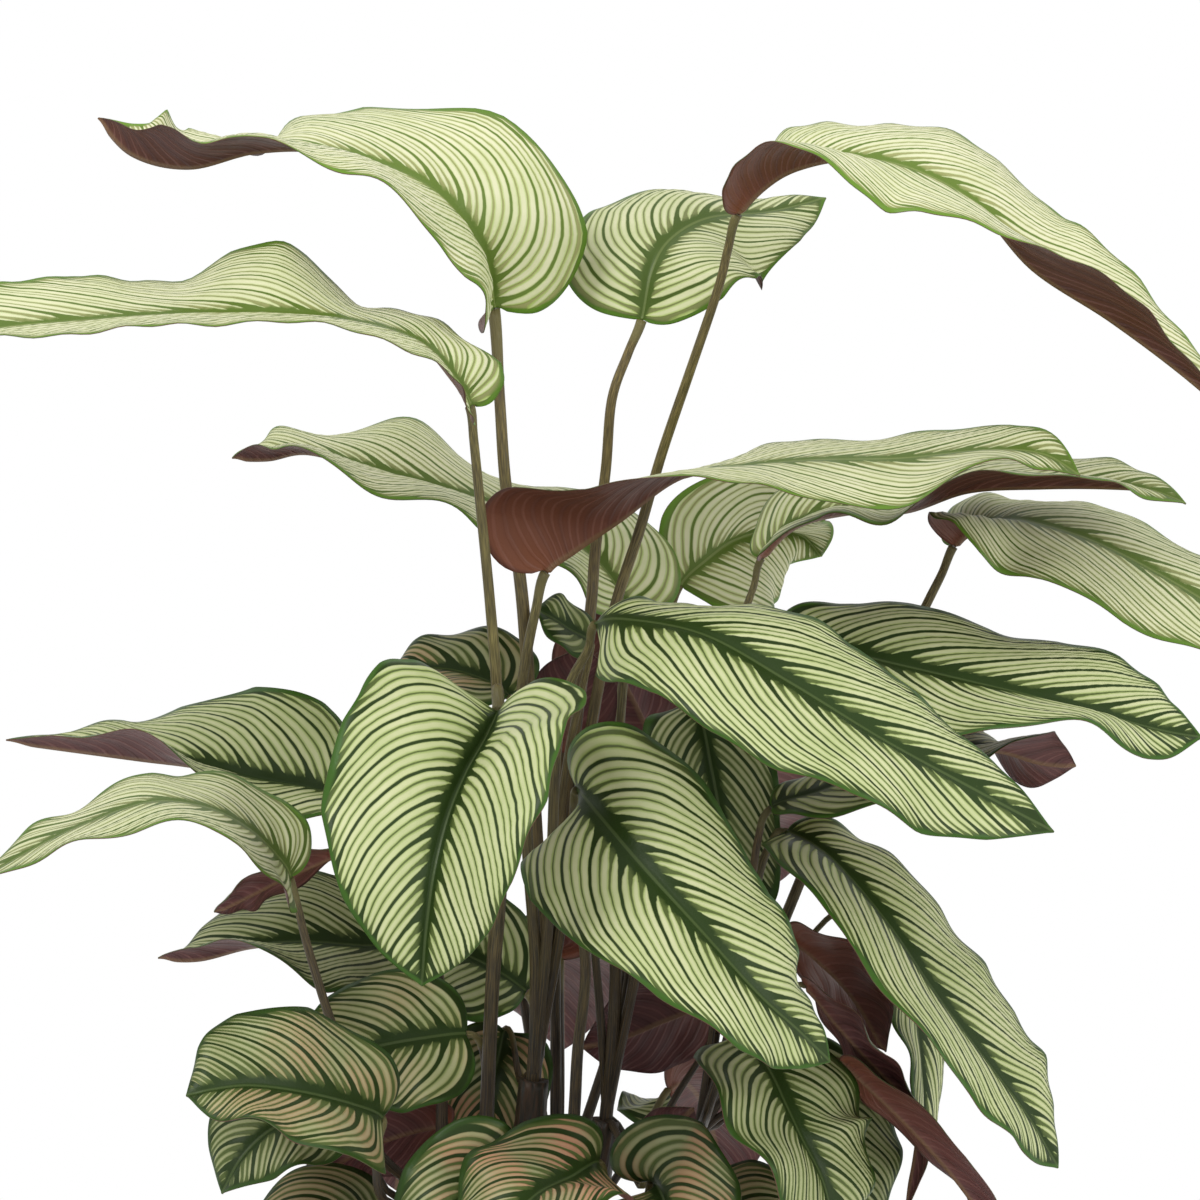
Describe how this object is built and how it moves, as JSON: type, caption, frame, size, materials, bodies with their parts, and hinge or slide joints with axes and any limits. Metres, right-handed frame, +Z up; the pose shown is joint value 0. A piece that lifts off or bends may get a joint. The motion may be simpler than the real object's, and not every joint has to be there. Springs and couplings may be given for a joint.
{
  "type": "potted calathea plant",
  "caption": "Potted calathea with long stalks and broad pointed leaves, striped cream and green above and purple-brown below, in a plain round nursery pot.",
  "frame": {"origin": "centre of the pot's base, on the surface it stands on", "axes": "+Z up, -Y towards the viewer of the picture, +X to the right"},
  "size_m": [0.7053, 0.4926, 0.8121],
  "materials": {
    "pot_plastic": "matte, faintly ribbed by moulding",
    "potting_soil": "crumbly peat",
    "stalk": "satin, olive with brown streaks",
    "leaf_striped": "satin, cream stripes on green, purple-brown beneath",
    "leaf_underside": "satin, purple-brown beneath, striped above"
  },
  "bodies": {
    "root": {"pot": "pot_plastic", "soil": "potting_soil", "shoot_far_left": "stalk", "shoot_left": "stalk", "shoot_centre_left": "stalk", "shoot_front": "stalk", "shoot_centre_right": "stalk", "shoot_right": "stalk", "shoot_back": "stalk", "leaf_top_left": "leaf_striped", "leaf_top_middle": "leaf_striped", "leaf_top_right": "leaf_striped", "leaf_upper_left": "leaf_striped", "leaf_middle_left": "leaf_striped", "leaf_twisted": "leaf_striped", "leaf_middle_back": "leaf_striped", "leaf_long_right": "leaf_striped", "leaf_far_right": "leaf_striped", "leaf_right_behind": "leaf_striped", "leaf_front_right": "leaf_striped", "leaf_front_left": "leaf_striped", "leaf_front_middle": "leaf_striped", "leaf_left_raised": "leaf_striped", "leaf_left_arched": "leaf_striped", "leaf_left_underside": "leaf_underside", "leaf_left_low": "leaf_striped", "leaf_low_left_front": "leaf_striped", "leaf_low_left_behind": "leaf_striped", "leaf_low_left_small": "leaf_striped", "leaf_low_left_dark": "leaf_underside", "leaf_low_front_first": "leaf_striped", "leaf_low_front_second": "leaf_striped", "leaf_low_front_third": "leaf_striped", "leaf_young": "leaf_underside", "leaf_low_right_front": "leaf_striped", "leaf_low_right_behind": "leaf_striped", "leaf_right_hanging": "leaf_striped", "leaf_right_underside": "leaf_underside", "leaf_right_dark": "leaf_underside", "leaf_right_narrow": "leaf_striped", "leaf_low_right_dark": "leaf_underside", "leaf_inner_hanging": "leaf_striped", "leaf_inner_dark": "leaf_underside", "leaf_inner_left_small": "leaf_striped", "leaf_inner_small": "leaf_striped", "leaf_inner_upright": "leaf_underside", "leaf_inner_low_dark": "leaf_underside", "leaf_inner_low_left": "leaf_striped", "leaf_right_curled": "leaf_striped", "leaf_back_upper": "leaf_striped", "leaf_back_left": "leaf_striped", "leaf_back_right": "leaf_striped", "leaf_back_low": "leaf_striped", "leaf_back_low_left": "leaf_striped", "leaf_back_low_right": "leaf_striped", "leaf_lowest_left": "leaf_striped", "leaf_lowest_right": "leaf_striped"}
  },
  "joints": []
}
